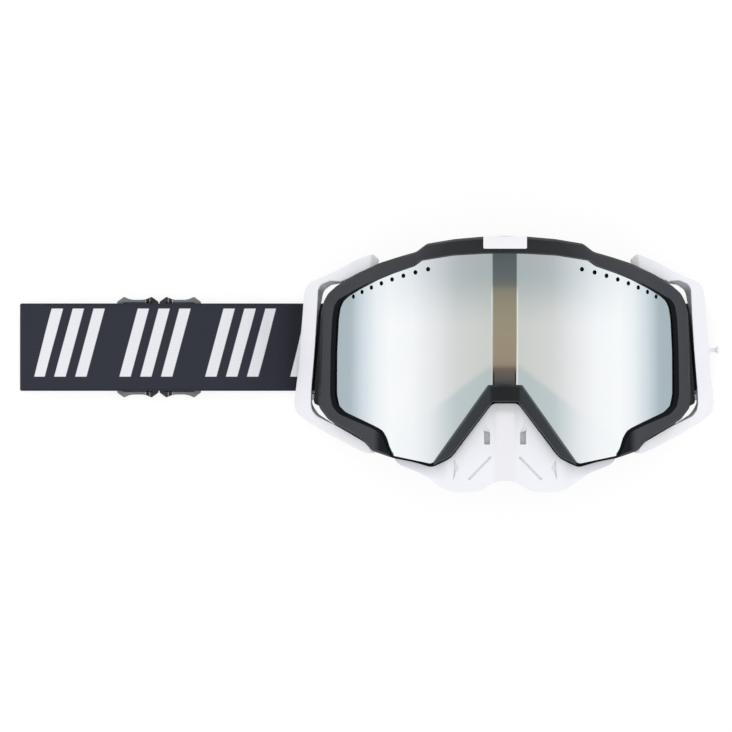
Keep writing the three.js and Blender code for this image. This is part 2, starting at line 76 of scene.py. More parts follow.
# Where the pin holes run along y
FRAME_HOLES, ARM_HOLES = ((28, 42), (-50, -38)), ((30, 41), (-48.4, -40))
ARM_H, SWELL_H, SWELL_REACH = 3.2, 1.9, 6.5
BAR_X, BAR_Z, BAR_R, BAR_END = 89.2, 7.2, 1.6, 23
CHEEK_LOW, CHEEK_HIGH, CHEEK_TOP = 21.6, 24.6, 15
STRAP_W, STRAP_T, FOLD_X, FOLD_R = 40.4, 1.7, -223.6, 1.15
SLIDER_L, SLIDER_H, SLIDER_X = 19.1, 6.3, (-169.15, -149.55)
SLIDER_BAR_W, SLIDER_BAR_LOW, LEDGE_Y, LEDGE_H = 3, 4.5, 18.6, 1.8
VENT_D, VENT_COUNT = 2.1, 8
BADGE_X, BADGE_LOW, BADGE_HIGH, BADGE_T = 10, 45.1, 50.8, 1.1

# Outlines seen from the front, right half: outer x, outer y, inner x, inner y
BEZEL_HALF = [
    (0, 51, 0, 42.9), (10.3, 50.7, 10, 42.7), (23, 49.6, 24, 41.9), (35.8, 47.5, 39.8, 39.4),
    (40.6, 43.8, 43.6, 36.5), (49, 41.4, 51.6, 33.8), (57.5, 38.7, 59, 30.8), (68.8, 33.5, 67.8, 26.3),
    (77.1, 28.4, 72.6, 23.4), (81.2, 24.8, 75.1, 20.9), (83.2, 21.2, 76.4, 17.9),
    (84.6, 15.8, 77.2, 12.3), (85.2, -0.4, 77.9, -2), (85.6, -14.9, 78, -14.5),
    (86, -24.4, 78, -21.8), (85.2, -28.2, 76.9, -27.1), (81.2, -33.4, 74, -29.9),
    (78, -35.4, 69.7, -31.9), (70.2, -39.7, 62, -35.5), (65.7, -42.3, 58.6, -37.2),
    (63.2, -45.2, 56.6, -38.6), (61.2, -47.7, 54.9, -41.6), (52.7, -50.6, 52.8, -48.4),
]
FRAME_HALF = [
    (0, 50.3, 0, 44.2), (20, 48.8, 20, 42.6), (35.4, 46.9, 36, 40.8), (40, 43.1, 42.3, 38),
    (57.3, 38, 60, 30.8), (68.5, 32.8, 67.5, 26.6), (76.4, 27.8, 73, 23), (80.8, 24, 76, 19.6),
    (82.8, 19.9, 76.7, 16.4), (84.7, 14.8, 77.6, 10.9), (86, -0.4, 78, -0.4), (87.3, -14.9, 78, -14),
    (88.2, -25.9, 78, -22), (85, -27.4, 76.7, -27.9), (81.2, -33, 73, -31.6),
    (78, -36.1, 69, -34.4), (70.5, -40.4, 64.6, -35.8), (64.8, -43.7, 58.4, -38.4), (61, -47, 56, -41.6),
    (52, -50.9, 50.8, -47.4), (43, -53.4, 42, -49), (34, -56.2, 33.6, -51), (24, -53.4, 28, -46),
    (13.6, -41, 21, -37), (5.4, -30, 8, -20), (0, -30, 0, -20),
]
BRIDGE_HALF = [
    (0, -25.6, 0, -17.2), (5.7, -25.6, 7.9, -17.4), (24.3, -50, 29.3, -47.6),
    (26.9, -51.6, 31.2, -50.3), (32.7, -54.3, 32.9, -52.7),
]
# Outriggers also have the foot of their inner wall: outer x, y, inner x, y, foot x, y
ARM = [
    (57.8, 40.3, 58.3, 36.8, 58.3, 36.6), (60.7, 43.1, 61.5, 35.6, 61.5, 35.4),
    (68.8, 40.1, 69, 32.6, 69, 32.4), (76.9, 35.7, 75.3, 30.2, 75.3, 29.2),
    (84, 32.3, 80.2, 30.8, 79.6, 28.4), (88.8, 30.4, 84.5, 29.1, 82.6, 26.2),
    (91.4, 27.8, 86, 26.8, 83.5, 24.2), (92.5, 23.8, 86.2, 22, 84, 21.5),
    (93, 15.8, 86.5, 14.5, 85.9, 14.5), (94.2, 1.2, 87.4, 0, 87.1, 0), (95, -10, 88.2, -10, 87.9, -10),
    (96.2, -19.7, 89, -19, 88.7, -19), (97, -26.2, 89.3, -26, 88.5, -26),
    (95.8, -30.6, 88.7, -29.3, 87.2, -28.4), (89.7, -35.1, 86.6, -31.8, 85.4, -30.8),
    (80.1, -40.7, 78, -35.8, 78, -35.8), (68.8, -46.7, 66.1, -42, 66.1, -42),
    (63.4, -49.1, 62.8, -45.4, 62.8, -45.4), (59.8, -48.9, 59.8, -47.1, 59.8, -47.1),
]
# Height of the middle of an arm, by its distance from the middle of the goggles
ARM_RISE = [(50, 47), (62, 46), (70, 38), (78, 31), (86, 20.5), (88, 18), (100, 2)]
# Outlines of single sheets, right half
LENS_HALF = [
    (0, 45.8), (10, 45.5), (24, 44), (37, 42.5), (43.6, 39.6), (61.7, 31.9), (68.8, 27.9),
    (74.4, 24.2), (77.4, 20.6), (78.4, 17), (79.3, 11.3), (79.8, -2), (79.8, -22.3), (78, -29),
    (69.8, -35.8), (59, -40), (57.2, -42), (53.6, -47.2), (52.1, -48.4), (51.8, -49.8),
    (33.6, -53.6), (30.6, -50), (6.6, -19.4), (0, -19.4),
]
GUARD_HALF = [
    (0, -25.9), (5.8, -25.9), (24.4, -50.5), (26.9, -52.1), (33.6, -55.3), (42, -52.8), (51.2, -51),
    (48.6, -54), (38.5, -58), (28.8, -64.9), (24.3, -66.6), (17.2, -66.8), (11.4, -66.1),
    (6.9, -63.3), (3, -61.3), (0, -61.3),
]
# The vents lie along a bent line
VENT_LINE = [(35.3, 35.7), (56.2, 30.9), (69.6, 23.2)]
# The guard's surfaces outside the lens, its pegs into the frame, and its pockets with their backs
GUARD_FRONT, GUARD_BACK, POCKET_BACK_T = -1, -2.9, -4.9
PEGS, PEG_R = [(3.4, -28), (26.6, -54.1)], 1
POCKET = [(6.9, -39.2), (9.6, -38.4), (9.6, -44.7), (6.9, -44.7)]
POCKET_BACK = [(6, -37.5), (9.8, -37.5), (10.5, -38.6), (10.5, -45.6), (6, -45.6)]


# ---------------------------------------------------------------- curves and heights
def sheet_z(x, t):
    """Height of a sheet lying t outside the lens: round up to the wrap angle, then straight."""
    r, a = LENS_R + t, abs(x)
    bend = r * math.sin(WRAP)
    if a <= bend:
        return LENS_AXIS_Z + math.sqrt(r * r - a * a)
    return LENS_AXIS_Z + r * math.cos(WRAP) - (a - bend) * math.tan(WRAP)


def face_z(x, above):
    return FACE_Z - (FACE_R - math.sqrt(FACE_R * FACE_R - x * x)) + above


def arm_z(x):
    a = abs(x)
    for (x0, z0), (x1, z1) in zip(ARM_RISE, ARM_RISE[1:]):
        if a <= x1:
            return z0 + (z1 - z0) * (a - x0) / (x1 - x0)
    raise ValueError(x)


def smooth(low, high, v):
    t = min(1, max(0, (v - low) / (high - low)))
    return t * t * (3 - 2 * t)


def mix(a, b, t):
    return tuple(u + (v - u) * t for u, v in zip(a, b))


def flip_x(p):
    return tuple(v if i % 2 else -v for i, v in enumerate(p))


def mirrored(half):
    """A closed outline from its right half."""
    return list(half) + [flip_x(p) for p in reversed(half) if abs(p[0]) > 1e-6]


def arch(half):
    """An open arch from the left foot over the centre to the right foot."""
    return [flip_x(p) for p in reversed(half[1:])] + list(half)


def rounded(points, radius, closed=False, steps=5):
    """The same outline with each corner turned into a short curve."""
    result = []
    for i, p in enumerate(points):
        if not closed and i in (0, len(points) - 1):
            result.append(tuple(p))
            continue
        before, after = points[i - 1], points[(i + 1) % len(points)]
        start = mix(p, before, min(0.45, radius / math.dist(p, before)))
        end = mix(p, after, min(0.45, radius / math.dist(p, after)))
        for k in range(steps + 1):
            t = k / steps
            result.append(mix(mix(start, p, t), mix(p, end, t), t))
    return result


def divided(points, step, closed=False):
    """Extra points, so that no side is much longer than the step."""
    result = []
    last = len(points) if closed else len(points) - 1
    for i in range(last):
        a, b = points[i], points[(i + 1) % len(points)]
        parts = max(1, math.ceil(math.dist(a[:2], b[:2]) / step))
        result += [mix(a, b, k / parts) for k in range(parts)]
    return result if closed else result + [tuple(points[-1])]


def inset(station, distance, share=1):
    """A point a distance in from the outer edge of a station, at most a share of its width."""
    outer, inner = station[:2], station[2:]
    width = math.dist(outer, inner)
    return mix(outer, inner, min(distance, share * width) / width)


def quadratic(points, count):
    """Points along the curve that starts and ends at the outer points and bends towards the middle one."""
    a, b, c = points
    steps = [k / (count - 1) for k in range(count)]
    return [mix(mix(a, b, t), mix(b, c, t), t) for t in steps]


# ---------------------------------------------------------------- materials
def new_material(name):
    material = bpy.data.materials.new(name)
    material.use_nodes = True
    tree = material.node_tree
    return material, tree, tree.nodes["Principled BSDF"]


def node(tree, kind, inputs=None, **settings):
    made = tree.nodes.new(kind)
    for key, value in settings.items():
        setattr(made, key, value)
    for key, value in (inputs or {}).items():
        if isinstance(value, bpy.types.NodeSocket):
            tree.links.new(value, made.inputs[key])
        else:
            made.inputs[key].default_value = value
    return made


def maths(tree, operation, a, b=0.0, c=0.0):
    return node(tree, "ShaderNodeMath", {0: a, 1: b, 2: c}, operation=operation).outputs[0]


def noise(tree, scale, detail=3.0, coordinates=None):
    place = coordinates or node(tree, "ShaderNodeTexCoord").outputs["Object"]
    return node(tree, "ShaderNodeTexNoise", {"Vector": place, "Scale": scale, "Detail": detail})


def spread(tree, value, low, high, from_low=0.3, from_high=0.7):
    return node(tree, "ShaderNodeMapRange", {
        "Value": value, "From Min": from_low, "From Max": from_high, "To Min": low, "To Max": high,
    }).outputs["Result"]


def mix_colour(tree, factor, a, b):
    made = node(tree, "ShaderNodeMix", data_type="RGBA")
    for socket, value in ((made.inputs[0], factor), (made.inputs[6], a), (made.inputs[7], b)):
        if isinstance(value, bpy.types.NodeSocket):
            tree.links.new(value, socket)
        else:
            socket.default_value = value
    return made.outputs[2]


def bump(tree, shader, height, distance, strength=1.0):
    made = node(tree, "ShaderNodeBump", {"Height": height, "Distance": distance, "Strength": strength})
    tree.links.new(made.outputs["Normal"], shader.inputs["Normal"])
    return made


def moulded(name, dark, light, rough, grain=2600, depth=0.00002, specular=0.5,
            side_light=None, middle=None):
    """Moulded plastic or rubber: a fine grain, slow changes of colour, and uneven gloss.
    A surface that leans sideways can be lightened towards another tone, as painted light from the sides, and
    the middle of the piece can have another tone."""
    material, tree, shader = new_material(name)
    broad = noise(tree, 45, 4)
    fine = noise(tree, grain, 2)
    factor = spread(tree, broad.outputs["Fac"], 0, 1)
    colour = mix_colour(tree, factor, (*dark, 1), (*light, 1))
    if side_light:
        # Painted light: faces that lean to the left or right are lightened as if lit from the sides
        normal = node(tree, "ShaderNodeNewGeometry").outputs["Normal"]
        lean = maths(tree, "ABSOLUTE", node(tree, "ShaderNodeSeparateXYZ", {0: normal}).outputs["X"])
        colour = mix_colour(tree, spread(tree, lean, 0, 1, 0.3, 0.68), colour, (*side_light, 1))
    if middle:
        place = node(tree, "ShaderNodeTexCoord").outputs["Object"]
        off = maths(tree, "ABSOLUTE", node(tree, "ShaderNodeSeparateXYZ", {0: place}).outputs["X"])
        tone, inside, outside = middle
        colour = mix_colour(tree, spread(tree, off, 1, 0, inside, outside), colour, (*tone, 1))
    tree.links.new(colour, shader.inputs["Base Color"])
    worn = maths(tree, "ADD", spread(tree, broad.outputs["Fac"], rough - 0.05, rough + 0.05),
                 spread(tree, fine.outputs["Fac"], -0.04, 0.04))
    tree.links.new(worn, shader.inputs["Roughness"])
    shader.inputs["Specular IOR Level"].default_value = specular
    bump(tree, shader, fine.outputs["Fac"], depth)
    return material


def guard_material():
    """White plastic with painted shade: a darker keel, and thin wings shaded darker towards the lens."""
    # The middle tone is painted shade on the keel's top, as if the light came from the sides
    material = moulded("guard_plastic", (0.81, 0.815, 0.86), (0.83, 0.835, 0.88), 0.4, 1800, 0.000012,
                       middle=((0.79, 0.79, 0.82), 0.0044, 0.0056))
    tree = material.node_tree
    shader = tree.nodes["Principled BSDF"]
    place = node(tree, "ShaderNodeTexCoord").outputs["Object"]
    axes = node(tree, "ShaderNodeSeparateXYZ", {0: place}).outputs
    off = maths(tree, "ABSOLUTE", axes["X"])
    # Painted shade on the wings, darkest along the lens and fading out further down
    below = maths(tree, "SUBTRACT", maths(tree, "MULTIPLY_ADD", off, 0.23, -0.0622), axes["Y"])
    amount = maths(tree, "MULTIPLY", spread(tree, off, 0, 1, 0.026, 0.037),
                   spread(tree, below, 1, 0, 0, 0.0065))
    colour, shade = shader.inputs["Base Color"].links[0].from_socket, (0.45, 0.45, 0.48, 1)
    tree.links.new(mix_colour(tree, amount, colour, shade), shader.inputs["Base Color"])
    return material


def tail_material():
    """The bezel's black, which turns darker and duller at the lower tip of each foot."""
    inside, outside = 0.0574, 0.0604
    material = moulded("bezel_tail_black", *BLACK_TONES, 0.5, side_light=BLACK_SIDE_LIGHT,
                       middle=((0.005, 0.005, 0.008), inside, outside))
    tree = material.node_tree
    place = node(tree, "ShaderNodeTexCoord").outputs["Object"]
    off = maths(tree, "ABSOLUTE", node(tree, "ShaderNodeSeparateXYZ", {0: place}).outputs["X"])
    tree.links.new(spread(tree, off, 0.15, 0.5, inside, outside),
                   tree.nodes["Principled BSDF"].inputs["Specular IOR Level"])
    return material


def mirror_material():
    material, tree, shader = new_material("mirror_lens")
    haze = noise(tree, 60, 5)
    tint = spread(tree, haze.outputs["Fac"], 0, 1)
    tree.links.new(mix_colour(tree, tint, (0.955, 0.965, 0.97, 1), (0.97, 0.972, 0.972, 1)),
                   shader.inputs["Base Color"])
    shader.inputs["Metallic"].default_value = 1
    tree.links.new(spread(tree, haze.outputs["Fac"], 0.024, 0.036), shader.inputs["Roughness"])
    return material


def foam_material(name, dark, light, cells, depth, sheen):
    """Cut foam: small open cells, with a brushed nap where it faces the skin."""
    material, tree, shader = new_material(name)
    place = node(tree, "ShaderNodeTexCoord").outputs["Object"]
    pores = node(tree, "ShaderNodeTexVoronoi", {"Vector": place, "Scale": cells})
    fuzz = noise(tree, cells * 1.7, 4, place)
    height = maths(tree, "ADD", pores.outputs["Distance"], fuzz.outputs["Fac"])
    tree.links.new(mix_colour(tree, spread(tree, height, 0, 1, 0.5, 1.3), (*dark, 1), (*light, 1)),
                   shader.inputs["Base Color"])
    shader.inputs["Roughness"].default_value = 0.95
    shader.inputs["Specular IOR Level"].default_value = 0.2
    shader.inputs["Sheen Weight"].default_value = sheen
    bump(tree, shader, height, depth)
    return material


def strap_material():
    """Woven elastic with fine ribs along it and rows across it, and a plain print of slanted bars."""
    material, tree, shader = new_material("strap_webbing")
    along = node(tree, "ShaderNodeAttribute", attribute_name="strap_along").outputs["Fac"]
    across = node(tree, "ShaderNodeAttribute", attribute_name="strap_across").outputs["Fac"]
    outer = node(tree, "ShaderNodeAttribute", attribute_name="strap_outer").outputs["Fac"]
    ribs = maths(tree, "SINE", maths(tree, "MULTIPLY", across, 2 * math.pi / 0.75))
    rows = maths(tree, "SINE", maths(tree, "MULTIPLY", along, 2 * math.pi / 0.6))
    weave = maths(tree, "ADD", maths(tree, "MULTIPLY", ribs, 0.5), maths(tree, "MULTIPLY", rows, 0.35))
    cloth = spread(tree, weave, 0, 1, -0.85, 0.85)
    dark = mix_colour(tree, cloth, (0.019, 0.021, 0.034, 1), (0.031, 0.033, 0.05, 1))
    # The print: three slanted bars in each repeat, with a margin along both edges
    period, slant, stroke, pitch, first = 39.6, 0.27, 5.2, 9.6, 11.0
    half_height, centre, blur = 15.7, 2.1, 0.12
    leaning = maths(tree, "ADD", along, maths(tree, "MULTIPLY", across, slant))
    local = maths(tree, "WRAP", leaning, period, 0.0)
    printed = None
    for k in range(3):
        off = maths(tree, "ABSOLUTE", maths(tree, "SUBTRACT", local, first + k * pitch))
        bar = node(tree, "ShaderNodeMapRange", {
            "Value": off, "From Min": stroke / 2 + blur, "From Max": stroke / 2 - blur,
        }).outputs["Result"]
        printed = bar if printed is None else maths(tree, "MAXIMUM", printed, bar)
    edge = node(tree, "ShaderNodeMapRange", {
        "Value": maths(tree, "ABSOLUTE", maths(tree, "SUBTRACT", across, centre)),
        "From Min": half_height + blur, "From Max": half_height - blur}).outputs["Result"]
    place = node(tree, "ShaderNodeTexCoord").outputs["Object"]
    left = node(tree, "ShaderNodeSeparateXYZ", {0: place}).outputs["X"]
    # No print where the strap turns round the loop bar
    edge = maths(tree, "MULTIPLY", edge, spread(tree, left, 1, 0, -0.0925, -0.0923))
    mask = maths(tree, "MULTIPLY", maths(tree, "MULTIPLY", printed, edge), outer)
    # Darker selvedges, and painted shadow on the stretch beside the outrigger, where it runs under it
    rim = node(tree, "ShaderNodeMapRange", {
        "Value": maths(tree, "ABSOLUTE", across), "From Min": 19.2, "From Max": 19.6}).outputs["Result"]
    dull = maths(tree, "MAXIMUM", maths(tree, "MULTIPLY", rim, 0.5),
                 spread(tree, left, 0, 0.7, -0.106, -0.096))
    dark = mix_colour(tree, dull, dark, (0.008, 0.008, 0.011, 1))
    ink = mix_colour(tree, cloth, (0.72, 0.73, 0.77, 1), (0.82, 0.83, 0.87, 1))
    tree.links.new(mix_colour(tree, mask, dark, ink), shader.inputs["Base Color"])
    shader.inputs["Roughness"].default_value = 0.85
    shader.inputs["Specular IOR Level"].default_value = 0.2
    shader.inputs["Sheen Weight"].default_value = 0.08
    bump(tree, shader, weave, 0.00006)
    return material


def smoke_material():
    """Smoky plastic, darker where the two sliders face each other."""
    material, tree, shader = new_material("smoke_plastic")
    cloud = noise(tree, 120, 3)
    clear = mix_colour(tree, spread(tree, cloud.outputs["Fac"], 0, 1),
                       (0.17, 0.19, 0.21, 1), (0.27, 0.29, 0.31, 1))
    place = node(tree, "ShaderNodeTexCoord").outputs["Object"]
    middle = MM * (SLIDER_X[0] + SLIDER_X[1]) / 2
    off = maths(tree, "ABSOLUTE", maths(
        tree, "SUBTRACT", node(tree, "ShaderNodeSeparateXYZ", {0: place}).outputs["X"], middle))
    slider_tone = mix_colour(tree, spread(tree, off, 1, 0, 0.0039, 0.0042), clear, (0.035, 0.036, 0.042, 1))
    # Beside the dark part, a dark line of painted shade and a thin light line of painted highlight stand in
    # for a rib
    blur = 0.0001
    for line_place, half, tone in ((0.0054, 0.0007, 0.006), (0.0062, 0.0002, 0.45)):
        away = maths(tree, "ABSOLUTE", maths(tree, "SUBTRACT", off, line_place))
        painted_line = spread(tree, away, 1, 0, half, half + blur)
        slider_tone = mix_colour(tree, painted_line, slider_tone, (tone, tone, 1.1 * tone, 1))
    tree.links.new(slider_tone, shader.inputs["Base Color"])
    tree.links.new(spread(tree, cloud.outputs["Fac"], 0.12, 0.22), shader.inputs["Roughness"])
    shader.inputs["Transmission Weight"].default_value = 0.3
    shader.inputs["IOR"].default_value = 1.49
    bump(tree, shader, cloud.outputs["Fac"], 0.00002)
    return material


def metal_material(name, base, rough):
    material, tree, shader = new_material(name)
    lines = noise(tree, 1800, 2)
    tree.links.new(mix_colour(tree, lines.outputs["Fac"], (*(0.9 * c for c in base), 1), (*base, 1)),
                   shader.inputs["Base Color"])
    shader.inputs["Metallic"].default_value = 1
    tree.links.new(spread(tree, lines.outputs["Fac"], rough - 0.06, rough + 0.06), shader.inputs["Roughness"])
    return material


# The lighter tone for faces that lean sideways is painted light from the sides
BLACK_TONES, BLACK_SIDE_LIGHT = ((0.009, 0.009, 0.010), (0.012, 0.012, 0.014)), (0.031, 0.032, 0.041)
BLACK = moulded("black_plastic", *BLACK_TONES, 0.5, side_light=BLACK_SIDE_LIGHT)
TAIL = tail_material()
# The bezel's outer wall in near-black: painted shade where the arm hides it from the light
EDGE_SHADE = moulded("bezel_edge_painted_shade", (0.005, 0.005, 0.006), (0.007, 0.007, 0.008), 0.6, specular=0.2)
# The bezel's inner bevel and lip wall, and the vent walls, in near-black: painted shade
WALL_SHADE = moulded("bezel_wall_painted_shade", (0.001, 0.002, 0.004), (0.002, 0.003, 0.005), 0.6, specular=0.15)
# The bridge's darker middle is painted shade on its flat top
BRIDGE = moulded("bridge_plastic", (0.019, 0.023, 0.029), (0.022, 0.026, 0.032), 0.45,
                 middle=((0.0025, 0.0045, 0.006), 0.0062, 0.0072))
WHITE = moulded("white_plastic", (0.82, 0.82, 0.86), (0.85, 0.85, 0.89), 0.38, 1800, 0.000012)
# The arms' inner walls in grey: painted shade, and a painted reflection of the black bezel
SHADED = moulded("white_plastic_painted_shade", (0.36, 0.37, 0.40), (0.42, 0.43, 0.46), 0.5, 1800, 0.000012)
# Greys for the guard's pockets and shallow recesses: painted shade in the hollows
POCKET_SHADE = moulded("guard_pocket_painted_shade", (0.60, 0.605, 0.62), (0.63, 0.635, 0.65), 0.5, 1800, 0.000012)
RECESS_SHADE = moulded("guard_recess_painted_shade", (0.76, 0.77, 0.81), (0.79, 0.80, 0.84), 0.45, 1800, 0.000012)
GUARD = guard_material()
RUBBER = moulded("frame_rubber", (0.008, 0.008, 0.009), (0.012, 0.012, 0.014), 0.7, 3200, 0.00003, 0.25)
SEAL = moulded("gasket_rubber", (0.006, 0.006, 0.007), (0.01, 0.01, 0.011), 0.75, 3200, 0.00003, 0.3)
MIRROR = mirror_material()
DARK_FOAM = foam_material("dark_foam", (0.012, 0.012, 0.014), (0.05, 0.05, 0.056), 1300, 0.0003, 0.0)
GREY_FOAM = foam_material("grey_foam", (0.05, 0.052, 0.058), (0.12, 0.122, 0.13), 1700, 0.0002, 0.0)
FLEECE = foam_material("fleece", (0.008, 0.008, 0.01), (0.028, 0.028, 0.033), 2400, 0.0003, 0.4)
STRAP = strap_material()
SMOKE = smoke_material()
STEEL = metal_material("steel_pin", (0.62, 0.62, 0.64), 0.3)


# ---------------------------------------------------------------- meshes
def make_object(name, vertices, faces, material):
    """A mesh from points in millimetres, with its faces turned outwards."""
    mesh = bpy.data.meshes.new(name)
    mesh.from_pydata([tuple(MM * c for c in v) for v in vertices], [], faces)
    work = bmesh.new()
    work.from_mesh(mesh)
    bmesh.ops.recalc_face_normals(work, faces=work.faces)
    work.to_mesh(mesh)
    work.free()
    mesh.materials.append(material)
    thing = bpy.data.objects.new(name, mesh)
    bpy.context.collection.objects.link(thing)
    return thing


def apply(thing, kind, **settings):
    modifier = thing.modifiers.new("m", kind)
    for key, value in settings.items():
        setattr(modifier, key, value)
    bpy.context.view_layer.objects.active = thing
    bpy.ops.object.modifier_apply(modifier=modifier.name)
    return thing


def bevelled(thing, width, angle=30, segments=3):
    return apply(thing, "BEVEL", width=width * MM, segments=segments, limit_method="ANGLE",
                 angle_limit=math.radians(angle), use_clamp_overlap=True, miter_outer="MITER_ARC")


def shaded(thing, angle=38):
    thing.data.shade_smooth()
    thing.data.set_sharp_from_angle(angle=math.radians(angle))
    return thing


def joined(thing, *others):
    """The union of solids, as one solid."""
    for other in others:
        apply(thing, "BOOLEAN", operation="UNION", solver="MANIFOLD", object=other)
        bpy.data.objects.remove(other)
    return thing


def cut(thing, *others):
    """A solid less others, whose materials line what they cut."""
    for other in others:
        apply(thing, "BOOLEAN", operation="DIFFERENCE", solver="MANIFOLD", material_mode="TRANSFER",
              object=other)
        bpy.data.objects.remove(other)
    return thing


def merge(thing, other):
    """Both meshes in one object, without joining their surfaces."""
    work = bmesh.new()
    work.from_mesh(thing.data)
    work.from_mesh(other.data)
    work.to_mesh(thing.data)
    work.free()
    bpy.data.objects.remove(other)


def loft(name, sections, material, closed=False):
    """A solid through a row of equal sections, a ring or capped at both ends."""
    count, size = len(sections), len(sections[0])
    faces = []
    for i in range(count if closed else count - 1):
        a, b = i * size, ((i + 1) % count) * size
        faces += [(a + k, a + (k + 1) % size, b + (k + 1) % size, b + k) for k in range(size)]
    if not closed:
        faces += [tuple(range(size)), tuple(range((count - 1) * size, count * size))]
    return make_object(name, [p for s in sections for p in s], faces, material)


def sides_in(thing, size, sides, material, where=lambda x, y: True):
    """Some of the lengthwise sides of a loft in another material."""
    thing.data.materials.append(material)
    for i, face in enumerate(thing.data.polygons):
        if len(face.vertices) == 4 and i % size in sides and where(face.center.x / MM, face.center.y / MM):
            face.material_index = len(thing.data.materials) - 1


def prism(name, outline, z0, z1, material):
    return loft(name, [[(x, y, z) for x, y in outline] for z in (z0, z1)], material)


def circle(x, y, r, sides=32):
    return [(x + r * math.cos(2 * math.pi * k / sides), y + r * math.sin(2 * math.pi * k / sides))
            for k in range(sides)]


def rod_z(name, x, y, r, z0, z1, material, sides=32):
    return prism(name, circle(x, y, r, sides), z0, z1, material)


def rod_y(name, x, z, r, y0, y1, material, sides=40):
    return loft(name, [[(px, y, pz) for px, pz in circle(x, z, r, sides)] for y in (y0, y1)], material)


def box(name, x0, x1, y0, y1, z0, z1, material):
    return prism(name, [(x0, y0), (x1, y0), (x1, y1), (x0, y1)], z0, z1, material)


def plate(name, outline, front, back, material, step=1.5, step_y=None):
    """A sheet over a flat outline, whose two surfaces have heights given by functions of x and y."""
    work = bmesh.new()
    work.faces.new([work.verts.new((x, y, 0)) for x, y in outline])
    for axis, size in ((0, step), (1, step_y)):
        if not size:
            continue
        low, high = min(p[axis] for p in outline), max(p[axis] for p in outline)
        for k in range(math.ceil(low / size), math.floor(high / size) + 1):
            place, normal = [0, 0, 0], [0, 0, 0]
            place[axis], normal[axis] = k * size, 1
            bmesh.ops.bisect_plane(work, geom=work.verts[:] + work.edges[:] + work.faces[:], dist=1e-4,
                                   plane_co=place, plane_no=normal)
    work.verts.index_update()
    flat = [v.co.to_tuple() for v in work.verts]
    faces = [[v.index for v in f.verts] for f in work.faces]
    rim = [(e.verts[0].index, e.verts[1].index) for e in work.edges if len(e.link_faces) == 1]
    work.free()
    count = len(flat)
    points = [(x, y, front(x, y)) for x, y, _ in flat] + [(x, y, back(x, y)) for x, y, _ in flat]
    under = [[count + i for i in reversed(f)] for f in faces]
    walls = [(a, b, count + b, count + a) for a, b in rim]
    return make_object(name, points, faces + under + walls, material)


# ---------------------------------------------------------------- lens cassette
def rim_section(station, proud, lean, bevel):
    """A face on top, a bevel down to the lens and a skirt round the lens edge."""
    back = station[2:] + station[:2]
    lip, seat, skirt = 0.6, 0.35, 1.3
    places = [
        (inset(station, 0), RIM_BACK), (inset(station, lean, 0.3), proud),
        (inset(back, bevel, 0.3), proud), (inset(back, 0), lip), (inset(back, 0), seat),
        (inset(station, 1.5 + 0.45 * lean, 0.62), seat), (inset(station, skirt, 0.5), RIM_BACK),
    ]
    return [(x, y, sheet_z(x, t)) for (x, y), t in places]


def bezel_section(station):
    """The bezel is lower at its sides than at the brow, and its inner bevel is widest there."""
    a, lean, widest = abs(station[0]), 1.2, 2.4
    proud = BEZEL_PROUD + (BEZEL_PROUD_SIDE - BEZEL_PROUD) * smooth(25, 55, a)
    narrowest, begin, full = (0.6, 76, 84.5) if station[1] > 0 else (1.3, 62, 84)
    return rim_section(station, proud, lean, narrowest + (widest - narrowest) * smooth(begin, full, a))


def make_bezel():
    stations = divided(rounded(arch(BEZEL_HALF), 1.6), 2.0)
    sections = [bezel_section(s) for s in stations]
    size, outer_wall, face, inner_bevel, lip_wall = len(sections[0]), 0, 1, 2, 3
    bezel = loft("bezel_shell", sections, BLACK)
    # Painted shade: the outer wall in near-black
    sides_in(bezel, size, (outer_wall,), EDGE_SHADE)
    sides_in(bezel, size, (face,), TAIL, lambda x, y: abs(x) < 63 and y < -38)
    # Painted shade on the inner bevel and lip wall, at the sides and below
    sides_in(bezel, size, (inner_bevel, lip_wall), WALL_SHADE, lambda x, y: abs(x) > 62 or y < 0)
    shaded(bevelled(bezel, 0.4, 28, 3))
    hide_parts("bezel")
    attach(bezel, "lens_cassette")


def make_bridge():
    stations = divided(rounded(arch(BRIDGE_HALF), 0.8), 1.5)
    bridge = loft("nose_bridge_shell", [rim_section(s, BRIDGE_PROUD, 0.8, 1) for s in stations], BRIDGE)
    shaded(bevelled(bridge, 0.35, 32, 3))
    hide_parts("nose_bridge")
    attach(bridge, "lens_cassette")


def drill(x, y, r, material):
    """A round tool that stands square to the lens."""
    angle = math.asin(x / LENS_R)
    sections = [[((LENS_R + t) * math.sin(angle) + u * math.cos(angle), v,
                  LENS_AXIS_Z + (LENS_R + t) * math.cos(angle) - u * math.sin(angle))
                 for u, v in circle(0, y, r, 24)] for t in (-4, 4)]
    return loft("drill", sections, material)


def make_lens():
    outline = divided(rounded(mirrored(LENS_HALF), 1.5, True), 3.0, True)
    lens = plate("mirror_sheet", outline, lambda x, y: sheet_z(x, 0), lambda x, y: sheet_z(x, -LENS_T),
                 MIRROR, 1.0)
    # The vent walls are lined with near-black painted shade
    tools = [drill(sign * x, y, VENT_D / 2, WALL_SHADE)
             for x, y in quadratic(VENT_LINE, VENT_COUNT) for sign in (-1, 1)]
    tool = tools[0]
    for other in tools[1:]:
        merge(tool, other)
    shaded(cut(lens, tool), 30)
    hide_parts("lens")
    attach(lens, "lens_cassette")


